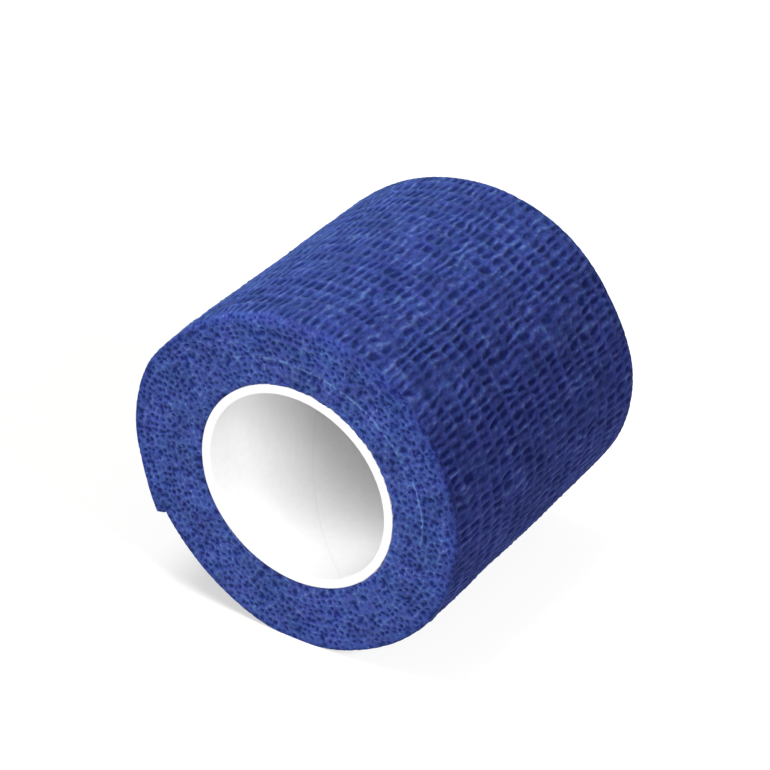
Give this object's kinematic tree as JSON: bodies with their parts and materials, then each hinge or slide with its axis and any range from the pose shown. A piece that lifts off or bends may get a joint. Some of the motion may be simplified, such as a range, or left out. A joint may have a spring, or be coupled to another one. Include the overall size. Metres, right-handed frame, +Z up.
{
  "type": "cohesive bandage roll",
  "caption": "Roll of blue crinkled cohesive bandage wound on a white card tube, lying on its side with its cut end pressed down.",
  "frame": {"origin": "on the surface that carries the roll, under the middle of the whole", "axes": "+Y along the roll's axis, away from the end that the picture shows; +Z up; the cut end of the strip is low on the -X side"},
  "size_m": [0.0572, 0.05, 0.0553],
  "materials": {
    "cohesive_cloth": "matt crinkled non-woven cloth over elastic threads",
    "core_card": "smooth matt white card"
  },
  "bodies": {
    "root": {"bandage": "cohesive_cloth", "core": "core_card"}
  },
  "joints": []
}
